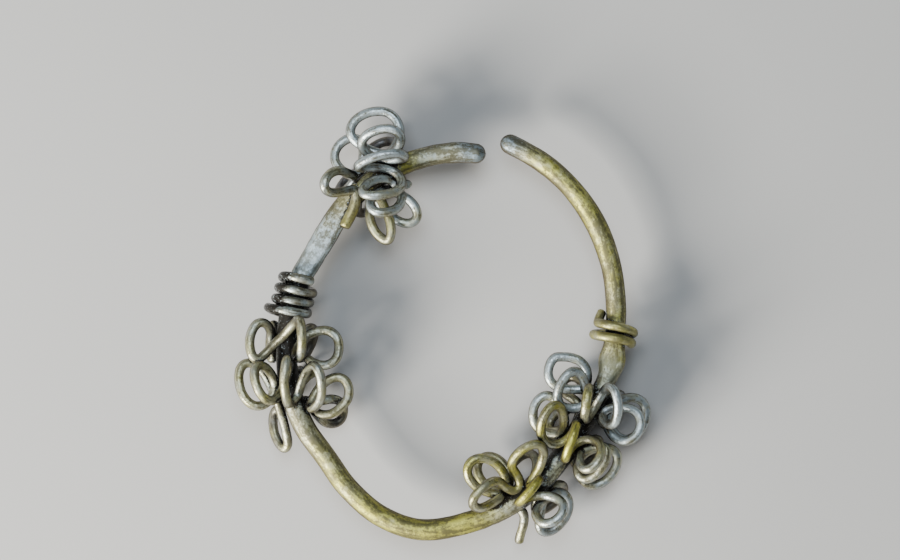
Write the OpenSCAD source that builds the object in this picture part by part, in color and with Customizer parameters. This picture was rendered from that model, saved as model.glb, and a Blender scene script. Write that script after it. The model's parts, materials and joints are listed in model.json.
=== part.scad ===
// Openwork wire temple ring. A stout wire is bent into an open ring, and it carries four beads.
// Each bead is one thin wire, coiled round the ring wire in two rosettes of standing loops.
// Two short bindings of like wire stop the beads from sliding.
// The ring lies flat on the loops of its beads, and the origin is the middle of its footprint.

/* [Ring wire] */
// Mean radius of the ring, to the middle of its wire
ring_r = 21.5; // [20.5:0.1:22.5]
// Diameter of the ring wire where it is round
ring_wire_d = 2.7; // [2.5:0.05:2.8]

/* [Bead wire] */
// Diameter of the wire of the beads
bead_wire_d = 1.1; // [1:0.05:1.1]
// Diameter of the wire of the bindings
binding_wire_d = 1.1; // [1:0.05:1.1]
// Clearance between the ring wire and the wires round it
wire_gap = 0.12; // [0.1:0.01:0.16]
// How far a usual loop stands out beyond its root
loop_tall = 4.2; // [3.9:0.1:4.6]
// Width of a usual loop
loop_broad = 4.4; // [4:0.1:4.6]
// How much narrower a loop is at its root than at its crown
loop_taper = 0.2; // [0:0.05:0.3]

/* [Hidden] */

ring_wire_sides = 12;
bead_wire_sides = 6;
rings_per_turn = 12;
brass_colour = [0.66, 0.62, 0.40];
grey_colour = [0.62, 0.64, 0.60];

// Ring wire stations, from the free end at the top left, round the left and the bottom, to the other
// free end. TURN is the angle round the ring, REACH the distance from its middle as a share of ring_r, and
// WIDE and TALL are the wire's width across the ring and its height, as shares of ring_wire_d. SQUARE is 2
// where the section is round, and more where the wire was hammered flat.
TURN = 0;
REACH = 1;
WIDE = 2;
TALL = 3;
SQUARE = 4;
RING_STATIONS = [
    [79, 1.085, 0.90, 0.90, 2],
    [86, 1.08, 0.95, 0.90, 2.25],
    [93, 1.07, 0.95, 0.85, 2.75],
    [100, 1.055, 0.95, 0.85, 2.5],
    [108, 1.04, 1.00, 0.95, 2.25],
    [118, 1.015, 1.00, 1.00, 2],
    [129, 0.98, 1.00, 0.85, 2.5],
    [141, 0.935, 1.10, 0.75, 3.5],
    [151, 0.925, 1.05, 0.75, 3.25],
    [158, 0.935, 1.00, 0.85, 2.5],
    [167, 0.94, 1.00, 1.00, 2],
    [180, 0.945, 1.00, 1.00, 2],
    [195, 0.97, 1.00, 1.00, 2],
    [210, 0.99, 1.00, 1.00, 2],
    [224, 1.00, 1.00, 1.00, 2],
    [236, 1.055, 1.00, 1.00, 2],
    [249, 1.11, 1.00, 1.00, 2],
    [262, 1.125, 1.00, 1.00, 2],
    [276, 1.075, 1.00, 0.95, 2.25],
    [290, 1.03, 1.00, 1.00, 2],
    [304, 0.98, 1.00, 1.00, 2],
    [319, 0.93, 1.00, 1.00, 2],
    [333, 0.92, 1.00, 1.00, 2],
    [345, 0.94, 0.90, 0.90, 2.5],
    [352, 0.95, 1.25, 0.60, 3.5],
    [359, 0.955, 0.95, 0.85, 2.5],
    [370, 0.98, 0.95, 0.95, 2],
    [384, 1.025, 0.95, 0.95, 2],
    [398, 1.075, 1.00, 1.00, 2],
    [411, 1.12, 0.95, 0.95, 2],
    [423, 1.155, 0.95, 0.95, 2],
    [435.5, 1.19, 0.90, 0.90, 2],
];

// Loops of the beads, in the order in which the wire makes them. ALONG is the place on the ring wire, in
// mm from the middle of the bead, and ROLL is the way that the loop stands out of it: 0 is out of the ring,
// 90 is up, 180 is in towards the middle of the ring and 270 is down. TALLNESS and BREADTH are shares of a
// usual loop's, and a negative breadth winds the loop the other way. LEAN tips its crown along the wire and
// SPIN turns it about its own root.
ALONG = 0;
ROLL = 1;
TALLNESS = 2;
BREADTH = 3;
LEAN = 4;
SPIN = 5;

TOP_LOOPS = [
    [3.75, 135, 0.05, -1.7, 0, 0],
    [2.5, 60, 1.2, 0.6, 20, 30],
    [1.25, -15, 1.05, 0.7, -10, 5],
    [2.5, -65, 0.9, 0.8, 0, 0],
    [2.25, -115, 0.9, 0.85, 10, 10],
    [2, -190, 1.2, 0.8, 25, 15],
    [0.25, -180, 1.2, 0.95, -20, 5],
    [-1, -225, 1.0, 1.1, 30, -30],
    [-2, -250, 1.0, 1.1, 35, -30],
    [-2.25, -290, 0.9, 1.2, 10, -15],
    [-2.5, -320, 1.05, 0.95, -5, -20],
    [-3.25, -360, 1.35, 1.0, 10, 0],
    [-1.75, -410, 0.95, 0.8, -10, 5],
    [-2, -450, 0.85, 0.9, 0, 15],
    [-1.5, -515, 0.55, -1.05, 0, 0],
];

LEFT_LOOPS = [
    [-2.25, 170, 1.1, 1.15, 0, -5],
    [-3, 110, 1.0, 1.1, -10, 5],
    [-3.5, 25, 0.7, 0.9, 20, 10],
    [-2.75, -45, 0.3, 0.9, 0, 0],
    [-3, -80, 0.85, 1.0, 0, 0],
    [-2.75, -120, 0.85, -1.0, 0, 20],
    [2.75, -90, 0.85, -1.0, 0, 35],
    [3.5, -130, 0.85, -0.95, 0, 20],
    [7, -150, 0.95, -1.05, 25, 35],
    [6.75, -180, 1.2, 1.2, -20, 0],
    [5, -230, 1.1, 1.15, -35, 5],
    [3.25, -270, 0.95, 1.15, -30, -10],
    [2, -310, 0.9, 0.9, -5, 15],
    [2.25, -345, 1.0, 1.0, -10, 15],
    [6.75, -395, 0.65, 0.95, 10, 20],
];

BOTTOM_LOOPS = [
    [-0.25, -30, 1.0, 0.3, -35, 0],
    [-3, -95, 0.85, 0.9, 0, 0],
    [-1.75, -160, 1.2, 1.0, -5, 0],
    [-2.25, -195, 1.3, 1.15, -15, 5],
    [-3, -235, 1.1, -1.1, -20, 20],
    [2.75, -225, 1.1, -1.2, 20, -15],
    [0.5, -265, 0.95, 0.85, 10, 10],
    [1.25, -315, 1.0, 0.7, 0, -5],
    [2.25, -380, 1.0, 0.9, -20, -5],
    [2, -410, 0.8, 0.9, 0, 0],
    [2.25, -455, 0.85, 0.9, 0, 0],
    [2.5, -495, 0.8, 0.9, 0, 5],
];

RIGHT_LOOPS = [
    [-1.75, 220, 0.6, 0.7, -5, 5],
    [-2.5, 175, 1.05, 1.0, 15, 0],
    [-3.5, 135, 1.2, 1.0, 20, 0],
    [-3, 95, 0.95, 1.0, 0, 15],
    [-2.5, 55, 1.0, 0.75, -15, -10],
    [-4.25, 25, 0.75, 1.0, 15, 10],
    [-4, -10, 1.1, 1.1, 5, 5],
    [-3.25, -50, 0.8, 0.9, 0, 10],
    [-3, -90, 0.85, 1.0, 0, 20],
    [2.5, -135, 1.0, -0.6, 10, 20],
    [5, -185, 1.25, 1.2, -5, 5],
    [2, -215, 1.0, 1.1, 15, -5],
    [1.5, -255, 0.9, 0.85, 15, 20],
    [2.25, -290, 1.0, 1.05, 20, 35],
    [2, -335, 1.15, 0.85, 0, 0],
    [3, -375, 1.2, 1.1, -5, 5],
    [2.75, -410, 0.8, 0.9, 0, 0],
    [2.25, -455, 0.85, 0.9, 0, 0],
];

// Turns of the bindings. ALONG is the place on the ring wire, in mm from the middle of the binding, LOOSE
// how far the wire stands off, in mm beyond the clearance, and COUNT the turns that it has made by then.
LOOSE = 1;
COUNT = 2;

LEFT_TURNS = [
    [-2.8, 0.1, 0],
    [-1.7, 0.1, 0.4],
    [-1.2, 0.1, 0.9],
    [-0.5, 0.1, 1.4],
    [0.3, 0.1, 1.9],
    [0.7, 0.1, 2.4],
    [1.8, 0.1, 2.9],
    [1.9, 0.8, 3.4],
    [2.6, 0.8, 3.7],
];

RIGHT_TURNS = [
    [-1.1, 0.1, 0],
    [-0.5, 0.2, 0.25],
    [-0.3, 0.6, 0.55],
    [0.1, 0.3, 0.95],
    [1, 0.1, 1.3],
    [1.3, 0.2, 1.55],
    [3, 0, 1.65],
];

// Beads and bindings on the ring wire. PLACE is the middle of each, in mm along the wire from its free end
// at the top left. A bead's wire runs from the turn FROM to the turn TO, counted in the rows of its loops.
// A binding starts at the angle START round the wire, and SENSE is the way that it turns, 1 or -1.
PLACE = 0;
FROM = 1;
TO = 2;
START = 1;
SENSE = 2;
TOP_BEAD = [14.5, 0.25, 13.75];
LEFT_BEAD = [41.2, -0.4, 14.3];
BOTTOM_BEAD = [83.3, 0.1, 11.3];
RIGHT_BEAD = [95.4, -0.3, 17.3];
LEFT_BINDING = [32.6, 140, -1];
RIGHT_BINDING = [107, -15, 1];

// Small vector helpers
function unit(v) = v / norm(v);
function flat(p) = [p.x, p.y, 0];

// Ring wire: its stations, a smooth line through them, and its place, size and direction along it
function station(row) = [
    ring_r * row[REACH] * cos(row[TURN]),
    ring_r * row[REACH] * sin(row[TURN]),
    ring_wire_d * row[WIDE],
    ring_wire_d * row[TALL],
    row[SQUARE],
];
stations = [for (row = RING_STATIONS) station(row)];
last_station = len(stations) - 1;
steps_per_station = 6;

function between(a, b, c, d, t) =
    ((2 * b) + (c - a) * t + (2 * a - 5 * b + 4 * c - d) * t * t + (3 * b - a - 3 * c + d) * t * t * t) / 2;
function station_step(i, k) =
    between(
        stations[max(i - 1, 0)], stations[i], stations[i + 1],
        stations[min(i + 2, last_station)], k / steps_per_station
    );
ring_line = [
    for (i = [0 : last_station - 1])
        for (k = [0 : steps_per_station - 1])
            station_step(i, k),
    stations[last_station],
];

function step_length(line, i) = i < len(line) - 1 ? norm(flat(line[i + 1]) - flat(line[i])) : 0;
ring_length_at = [
    for (i = 0, s = 0; i < len(ring_line); s = s + step_length(ring_line, i), i = i + 1)
        s
];
ring_length = ring_length_at[len(ring_length_at) - 1];

function column(c) = [for (i = [0 : len(ring_line) - 1]) [ring_length_at[i], ring_line[i][c]]];
ring_columns = [for (c = [0 : len(ring_line[0]) - 1]) column(c)];
function ring_value(s, c) = lookup(s, ring_columns[c]);
function ring_point(s) = [ring_value(s, 0), ring_value(s, 1), 0];
direction_step = 0.5;
function ring_direction(s) = unit(ring_point(s + direction_step) - ring_point(s - direction_step));
function ring_outward(s) = let (d = ring_direction(s)) [d.y, -d.x, 0];

// Solid of a line of rings: each ring is a list of points, and the two ends are closed by a point each
function ring_sides(sides, i) = [
    for (k = [0 : sides - 1])
        let (a = i * sides + k, b = i * sides + (k + 1) % sides)
        each [[a, b, b + sides], [a, b + sides, a + sides]]
];
function middle(ring) = [for (c = [0 : 2]) [for (p = ring) 1] * [for (p = ring) p[c]] / len(ring)];
module skin(rings) {
    sides = len(rings[0]);
    count = len(rings);
    points = concat([for (ring = rings) each ring], [middle(rings[0]), middle(rings[count - 1])]);
    first = count * sides;
    last = first + 1;
    faces = concat(
        [for (i = [0 : count - 2]) each ring_sides(sides, i)],
        [for (k = [0 : sides - 1]) [first, (k + 1) % sides, k]],
        [for (k = [0 : sides - 1]) [last, (count - 1) * sides + k, (count - 1) * sides + (k + 1) % sides]]
    );
    polyhedron(points = points, faces = faces, convexity = 10);
}

// Ring wire sections: a rounded one, whose corners square up where the wire is hammered, and domed free ends
function swell(c, square) = sign(c) * pow(abs(c), 2 / square);
function ring_section(s, grow) =
    let (
        outward = ring_outward(s),
        centre = ring_point(s),
        wide = ring_value(s, 2) / 2 * grow,
        tall = ring_value(s, 3) / 2 * grow,
        square = ring_value(s, 4)
    )
    [
        for (k = [0 : ring_wire_sides - 1])
            let (a = 360 * k / ring_wire_sides)
            centre + outward * wide * swell(cos(a), square) + [0, 0, tall * swell(sin(a), square)]
    ];
DOME_ANGLES = [12, 35, 62];
dome = ring_wire_d * 0.45;
function dome_section(i, at_end) =
    let (a = DOME_ANGLES[i], s = dome * (1 - cos(a)))
    ring_section(at_end ? ring_length - s : s, sin(a));
ring_step = 1.35;
ring_body = ring_length - 2 * dome;
ring_steps = round(ring_body / ring_step);
ring_rings = concat(
    [for (i = [0 : len(DOME_ANGLES) - 1]) dome_section(i, false)],
    [for (i = [0 : ring_steps]) ring_section(dome + ring_body * i / ring_steps, 1)],
    [for (i = [len(DOME_ANGLES) - 1 : -1 : 0]) dome_section(i, true)]
);

// Wire round a line of points, with its sections kept square to the line and free of twist
function line_directions(line) = [
    for (i = [0 : len(line) - 1]) unit(line[min(i + 1, len(line) - 1)] - line[max(i - 1, 0)])
];
function squared(side, direction) = unit(side - (side * direction) * direction);
first_side = [0.3, 0.2, 1];
function carried_sides(directions) = [
    for (
        i = 0, side = squared(first_side, directions[0]);
        i < len(directions);
        side = squared(side, directions[min(i + 1, len(directions) - 1)]), i = i + 1
    )
        side
];
END_GROWTH = [0.55, 0.92];
function wire_growth(i, count) = let (e = min(i, count - 1 - i)) e < len(END_GROWTH) ? END_GROWTH[e] : 1;
function wire_section(centre, side, other, r) = [
    for (k = [0 : bead_wire_sides - 1])
        let (a = 360 * k / bead_wire_sides)
        centre + r * (cos(a) * side + sin(a) * other)
];
function wire_rings(line, wire_d) =
    let (directions = line_directions(line), sides = carried_sides(directions))
    [
        for (i = [0 : len(line) - 1])
            wire_section(
                line[i], sides[i], cross(sides[i], directions[i]),
                wire_d / 2 * wire_growth(i, len(line))
            )
    ];

// A bead's wire. Each loop leaves the ring wire at its root, rounds its crown and comes back, and between two
// roots the wire slips on to the next loop's place.
root_r = ring_wire_d / 2 + wire_gap + bead_wire_d / 2;
slip_angle = 85;
function slip(angle) = let (x = max(abs(angle) - 180 + slip_angle, 0) / slip_angle) x * x / 2;
function loop_row(rows, k, angle) =
    let (
        next = max(0, min(len(rows) - 1, k + (angle > 0 ? 1 : -1))),
        share = next == k ? 0 : slip(angle)
    )
    rows[k] * (1 - share) + rows[next] * share;
function on_ring(s, roll, away, side) =
    let (outward = ring_outward(s))
    ring_point(s)
        + outward * (away * cos(roll) - side * sin(roll))
        + [0, 0, away * sin(roll) + side * cos(roll)];
function loop_point(at, row, angle) =
    let (
        away = loop_tall * row[TALLNESS] * (1 + cos(angle)) / 2,
        across = -loop_broad * row[BREADTH] / 2 * sin(angle) * (1 + loop_taper * cos(angle)),
        s = at + row[ALONG] + across * cos(row[SPIN]) + away * tan(row[LEAN])
    )
    on_ring(s, row[ROLL], root_r + away, across * sin(row[SPIN]));
function bead_line(bead, rows) = [
    for (i = [round(bead[FROM] * rings_per_turn) : round(bead[TO] * rings_per_turn)])
        let (
            k = max(0, min(len(rows) - 1, floor(i / rings_per_turn + 0.5))),
            angle = 360 * (i / rings_per_turn - k)
        )
        loop_point(bead[PLACE], loop_row(rows, k, angle), angle)
];
top_line = bead_line(TOP_BEAD, TOP_LOOPS);
left_line = bead_line(LEFT_BEAD, LEFT_LOOPS);
bottom_line = bead_line(BOTTOM_BEAD, BOTTOM_LOOPS);
right_line = bead_line(RIGHT_BEAD, RIGHT_LOOPS);

// A binding's wire: a close coil round the ring wire
binding_root_r = ring_wire_d / 2 + wire_gap + binding_wire_d / 2;
function turn_value(rows, t, c) = lookup(t, [for (row = rows) [row[COUNT], row[c]]]);
function binding_line(binding, rows) = [
    for (i = [0 : round(rows[len(rows) - 1][COUNT] * rings_per_turn)])
        let (t = i / rings_per_turn)
        on_ring(
            binding[PLACE] + turn_value(rows, t, ALONG), binding[START] + binding[SENSE] * 360 * t,
            binding_root_r + turn_value(rows, t, LOOSE), 0
        )
];
left_binding_line = binding_line(LEFT_BINDING, LEFT_TURNS);
right_binding_line = binding_line(RIGHT_BINDING, RIGHT_TURNS);

// The footprint's middle and the floor under the lowest loops
bead_points = concat(top_line, left_line, bottom_line, right_line);
lowest = [for (c = [0 : 2]) min([for (p = bead_points) p[c]]) - bead_wire_d / 2];
highest = [for (c = [0 : 2]) max([for (p = bead_points) p[c]]) + bead_wire_d / 2];
lift = [-(lowest.x + highest.x) / 2, -(lowest.y + highest.y) / 2, -lowest.z];

module ring_wire() color(brass_colour) translate(lift) skin(ring_rings);
module bead_top() color(grey_colour) translate(lift) skin(wire_rings(top_line, bead_wire_d));
module bead_left() color(grey_colour) translate(lift) skin(wire_rings(left_line, bead_wire_d));
module bead_bottom() color(brass_colour) translate(lift) skin(wire_rings(bottom_line, bead_wire_d));
module bead_right() color(brass_colour) translate(lift) skin(wire_rings(right_line, bead_wire_d));
module binding_left() color(grey_colour) translate(lift) skin(wire_rings(left_binding_line, binding_wire_d));
module binding_right() color(brass_colour) translate(lift) skin(wire_rings(right_binding_line, binding_wire_d));

ring_wire();
bead_top();
bead_left();
bead_bottom();
bead_right();
binding_left();
binding_right();
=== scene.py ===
"""Worn copper alloy temple ring: a stout open ring wire, four openwork beads of thin wire and two bindings.

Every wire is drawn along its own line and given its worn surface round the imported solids.
"""

import json
import math

import bpy
import numpy as np
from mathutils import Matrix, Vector
from mathutils.bvhtree import BVHTree

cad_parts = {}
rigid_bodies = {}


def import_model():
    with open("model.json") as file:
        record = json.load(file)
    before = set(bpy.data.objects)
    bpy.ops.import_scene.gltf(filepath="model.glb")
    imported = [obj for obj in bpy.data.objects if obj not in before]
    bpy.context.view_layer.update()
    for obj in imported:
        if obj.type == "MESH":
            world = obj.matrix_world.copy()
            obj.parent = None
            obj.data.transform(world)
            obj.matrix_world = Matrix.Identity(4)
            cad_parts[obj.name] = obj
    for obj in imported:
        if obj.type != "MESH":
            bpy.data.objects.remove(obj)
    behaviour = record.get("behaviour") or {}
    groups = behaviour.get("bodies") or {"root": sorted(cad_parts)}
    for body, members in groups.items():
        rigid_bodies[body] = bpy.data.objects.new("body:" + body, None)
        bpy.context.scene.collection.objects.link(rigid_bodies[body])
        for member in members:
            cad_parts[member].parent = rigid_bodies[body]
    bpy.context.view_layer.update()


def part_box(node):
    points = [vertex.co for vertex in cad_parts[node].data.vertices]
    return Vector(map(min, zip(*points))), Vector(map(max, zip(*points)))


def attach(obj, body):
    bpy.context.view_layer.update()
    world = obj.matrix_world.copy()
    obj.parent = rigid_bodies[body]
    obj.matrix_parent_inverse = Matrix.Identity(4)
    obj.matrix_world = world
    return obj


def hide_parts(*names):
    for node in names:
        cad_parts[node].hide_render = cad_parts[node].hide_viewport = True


bl_info = {
    "name": "Temple ring",
    "version": (1, 0, 0),
    "blender": (4, 5, 0),
    "location": "3D View > Sidebar > Temple ring",
    "description": "Draws the wires of an openwork temple ring and gives them their worn finish",
    "category": "Add Mesh",
}

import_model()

MM = 0.001

# Ring wire stations, from the free end at the top left, round the left and the bottom, to the other free
# end. TURN is in degrees, REACH is a share of the ring's radius, WIDE and TALL are shares of its wire's
# thickness, and SQUARE is 2 where the wire is round.
TURN, REACH, WIDE, TALL, SQUARE = range(5)
RING_STATIONS = (
    (79, 1.085, 0.90, 0.90, 2),
    (86, 1.08, 0.95, 0.90, 2.25),
    (93, 1.07, 0.95, 0.85, 2.75),
    (100, 1.055, 0.95, 0.85, 2.5),
    (108, 1.04, 1.00, 0.95, 2.25),
    (118, 1.015, 1.00, 1.00, 2),
    (129, 0.98, 1.00, 0.85, 2.5),
    (141, 0.935, 1.10, 0.75, 3.5),
    (151, 0.925, 1.05, 0.75, 3.25),
    (158, 0.935, 1.00, 0.85, 2.5),
    (167, 0.94, 1.00, 1.00, 2),
    (180, 0.945, 1.00, 1.00, 2),
    (195, 0.97, 1.00, 1.00, 2),
    (210, 0.99, 1.00, 1.00, 2),
    (224, 1.00, 1.00, 1.00, 2),
    (236, 1.055, 1.00, 1.00, 2),
    (249, 1.11, 1.00, 1.00, 2),
    (262, 1.125, 1.00, 1.00, 2),
    (276, 1.075, 1.00, 0.95, 2.25),
    (290, 1.03, 1.00, 1.00, 2),
    (304, 0.98, 1.00, 1.00, 2),
    (319, 0.93, 1.00, 1.00, 2),
    (333, 0.92, 1.00, 1.00, 2),
    (345, 0.94, 0.90, 0.90, 2.5),
    (352, 0.95, 1.25, 0.60, 3.5),
    (359, 0.955, 0.95, 0.85, 2.5),
    (370, 0.98, 0.95, 0.95, 2),
    (384, 1.025, 0.95, 0.95, 2),
    (398, 1.075, 1.00, 1.00, 2),
    (411, 1.12, 0.95, 0.95, 2),
    (423, 1.155, 0.95, 0.95, 2),
    (435.5, 1.19, 0.90, 0.90, 2),
)

# Finish of the ring wire. PLACE is in mm along it from the free end at the top left. TINT runs from -1,
# silver grey, over 0, cream, to 1 and a little above, bright yellow. DARK is the share of tarnish, and under
# the beads and the left binding also painted shade from the wires over it; above 1 where no metal shows, or
# below 0 the share of polish by wear. HAMMER is the share of hammer marks and BLUE that of a blue grey film.
PLACE, RING_TINT, DARK, HAMMER, BLUE = range(5)
RING_FINISH = (
    (0, -0.9, 0.5, 0.2, 1),
    (2.5, -0.7, 0.5, 0.4, 0.7),
    (4, -0.3, 0.3, 1, 0.3),
    (8, 0, 0.2, 1, 0.1),
    (10, 0.7, 0.2, 1, 0),
    (13, 0.3, 0.3, 0.4, 0.2),
    (18, 0.3, 0.3, 0.8, 0.2),
    (20, 0, 0.5, 1, 0),
    (22, -0.4, 0.3, 0.8, 0.1),
    (25, -0.8, -0.15, 0.8, 0.3),
    (30, -0.9, -0.15, 0.6, 0.3),
    # Under the left binding and the left bead, DARK is partly painted shade from the wires over the ring wire
    (31.5, -0.3, 2, 0.2, 0.3),
    (44, -0.2, 2, 0, 0.2),
    (47, -0.2, 0.6, 0, 0.2),
    (49, -0.1, 0.2, 0, 0.2),
    (53, 0.5, 0.2, 0, 0),
    (61, 0.7, 0.2, 0, 0),
    (73, 1.1, 0, 0.2, 0),
    (76, 0.9, 0.4, 0.8, 0),
    (79, 0.5, 0.9, 0.8, 0),
    (81, 0, 0.9, 0.5, 0.2),
    # Under the bottom and right beads, DARK is partly painted shade from the loops over the ring wire
    (84, -0.1, 1.1, 0.2, 0.4),
    (99, -0.1, 1.1, 0.2, 0.5),
    (101.5, -0.3, -0.2, 0.4, 0.4),
    (104, 0.4, -0.2, 0.6, 0.1),
    (106, 0.4, 0.1, 0.2, 0),
    (108, 0.4, 0.3, 0.2, 0),
    (112, 0.5, 0.3, 0, 0),
    (122, 0.7, 0.2, 0, 0),
    (130, 0.6, 0.2, 0.2, 0),
    (133.5, 0.2, 0.3, 0.3, 0.2),
    (137, -1, 0.4, 0.4, 1),
)

# Loops of the beads, in the order in which the wire makes them. ALONG is the place on the ring wire, in mm
# from the middle of the bead. ROLL is the way that the loop stands out: 0 is out of the ring, 90 is up, 180
# is in towards its middle and 270 is down. TALLNESS and BREADTH are shares of a usual loop's, and a negative
# breadth winds it the other way. LEAN tips its crown along the wire and SPIN turns it about its root, both in
# degrees. TINT runs as on the ring wire.
ALONG, ROLL, TALLNESS, BREADTH, LEAN, SPIN, TINT = range(7)
TOP_LOOPS = (
    (3.75, 135, 0.05, -1.7, 0, 0, 0.6),
    (2.5, 60, 1.2, 0.6, 20, 30, -0.3),
    (1.25, -15, 1.05, 0.7, -10, 5, -0.6),
    (2.5, -65, 0.9, 0.8, 0, 0, -0.7),
    (2.25, -115, 0.9, 0.85, 10, 10, -0.4),
    (2, -190, 1.2, 0.8, 25, 15, 0.3),
    (0.25, -180, 1.2, 0.95, -20, 5, -0.4),
    (-1, -225, 1.0, 1.1, 30, -30, -0.6),
    (-2, -250, 1.0, 1.1, 35, -30, -0.5),
    (-2.25, -290, 0.9, 1.2, 10, -15, -0.9),
    (-2.5, -320, 1.05, 0.95, -5, -20, -0.7),
    (-3.25, -360, 1.35, 1.0, 10, 0, -0.8),
    (-1.75, -410, 0.95, 0.8, -10, 5, -0.5),
    (-2, -450, 0.85, 0.9, 0, 15, -0.6),
    (-1.5, -515, 0.55, -1.05, 0, 0, -0.4),
)
LEFT_LOOPS = (
    (-2.25, 170, 1.1, 1.15, 0, -5, -0.2),
    (-3, 110, 1.0, 1.1, -10, 5, 0),
    (-3.5, 25, 0.7, 0.9, 20, 10, -0.1),
    (-2.75, -45, 0.3, 0.9, 0, 0, 0),
    (-3, -80, 0.85, 1.0, 0, 0, 0),
    (-2.75, -120, 0.85, -1.0, 0, 20, 0),
    (2.75, -90, 0.85, -1.0, 0, 35, 0),
    (3.5, -130, 0.85, -0.95, 0, 20, 0),
    (7, -150, 0.95, -1.05, 25, 35, 0),
    (6.75, -180, 1.2, 1.2, -20, 0, 0.1),
    (5, -230, 1.1, 1.15, -35, 5, -0.1),
    (3.25, -270, 0.95, 1.15, -30, -10, 0),
    (2, -310, 0.9, 0.9, -5, 15, 0.1),
    (2.25, -345, 1.0, 1.0, -10, 15, 0),
    (6.75, -395, 0.65, 0.95, 10, 20, 0),
)
BOTTOM_LOOPS = (
    (-0.25, -30, 1.0, 0.3, -35, 0, -0.1),
    (-3, -95, 0.85, 0.9, 0, 0, 0),
    (-1.75, -160, 1.2, 1.0, -5, 0, 0.3),
    (-2.25, -195, 1.3, 1.15, -15, 5, 0.4),
    (-3, -235, 1.1, -1.1, -20, 20, 0.2),
    (2.75, -225, 1.1, -1.2, 20, -15, 0.3),
    (0.5, -265, 0.95, 0.85, 10, 10, 1.2),
    (1.25, -315, 1.0, 0.7, 0, -5, -0.4),
    (2.25, -380, 1.0, 0.9, -20, -5, -0.5),
    (2, -410, 0.8, 0.9, 0, 0, 0),
    (2.25, -455, 0.85, 0.9, 0, 0, 0),
    (2.5, -495, 0.8, 0.9, 0, 5, 0),
)
RIGHT_LOOPS = (
    (-1.75, 220, 0.6, 0.7, -5, 5, -0.2),
    (-2.5, 175, 1.05, 1.0, 15, 0, -0.3),
    (-3.5, 135, 1.2, 1.0, 20, 0, 0.2),
    (-3, 95, 0.95, 1.0, 0, 15, 1.2),
    (-2.5, 55, 1.0, 0.75, -15, -10, -0.3),
    (-4.25, 25, 0.75, 1.0, 15, 10, 0),
    (-4, -10, 1.1, 1.1, 5, 5, -0.3),
    (-3.25, -50, 0.8, 0.9, 0, 10, -0.2),
    (-3, -90, 0.85, 1.0, 0, 20, 0),
    (2.5, -135, 1.0, -0.6, 10, 20, -0.2),
    (5, -185, 1.25, 1.2, -5, 5, -0.7),
    (2, -215, 1.0, 1.1, 15, -5, -0.9),
    (1.5, -255, 0.9, 0.85, 15, 20, 0),
    (2.25, -290, 1.0, 1.05, 20, 35, -0.8),
    (2, -335, 1.15, 0.85, 0, 0, -0.8),
    (3, -375, 1.2, 1.1, -5, 5, -0.8),
    (2.75, -410, 0.8, 0.9, 0, 0, -0.4),
    (2.25, -455, 0.85, 0.9, 0, 0, -0.3),
)

# Turns of the bindings. LOOSE is how far the wire stands off, in mm beyond the clearance, and COUNT the
# turns that it has made by then.
LOOSE, COUNT = 1, 2
LEFT_TURNS = (
    (-2.8, 0.1, 0),
    (-1.7, 0.1, 0.4),
    (-1.2, 0.1, 0.9),
    (-0.5, 0.1, 1.4),
    (0.3, 0.1, 1.9),
    (0.7, 0.1, 2.4),
    (1.8, 0.1, 2.9),
    (1.9, 0.8, 3.4),
    (2.6, 0.8, 3.7),
)
RIGHT_TURNS = (
    (-1.1, 0.1, 0),
    (-0.5, 0.2, 0.25),
    (-0.3, 0.6, 0.55),
    (0.1, 0.3, 0.95),
    (1, 0.1, 1.3),
    (1.3, 0.2, 1.55),
    (3, 0, 1.65),
)

# Beads: the node, the middle of the bead in mm along the ring wire, the turns from which and to which its
# wire runs, its loops, how much stouter its first end was hammered, its share of tarnish, the slot of its
# alloy, and the seed of its unevenness.
BEADS = (
    ("bead_top", 14.5, 0.25, 13.75, TOP_LOOPS, 1.2, 0, "pale_alloy", 3),
    ("bead_left", 41.2, -0.4, 14.3, LEFT_LOOPS, 1, 0.4, "pale_alloy", 5),
    ("bead_bottom", 83.3, 0.1, 11.3, BOTTOM_LOOPS, 1, 0, "olive_alloy", 7),
    ("bead_right", 95.4, -0.3, 17.3, RIGHT_LOOPS, 1, 0, "olive_alloy", 11),
)
# Bindings: the node, its middle in mm along the ring wire, the roll at which it starts, the way that it
# turns, its turns, its tint, its share of tarnish or polish, how much more tarnish its outer side has, the
# slot of its alloy, and the seed of its unevenness.
BINDINGS = (
    ("binding_left", 32.6, 140, -1, LEFT_TURNS, -0.4, 0, 2, "pale_alloy", 13),
    ("binding_right", 107, -15, 1, RIGHT_TURNS, 0.5, -0.25, 0, "yellow_alloy", 17),
)


# Lines of the wires


def between(a, b, c, d, t):
    """The smooth curve from b to c, past a and d."""
    return ((2 * b) + (c - a) * t + (2 * a - 5 * b + 4 * c - d) * t**2 + (3 * b - a - 3 * c + d) * t**3) / 2


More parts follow.
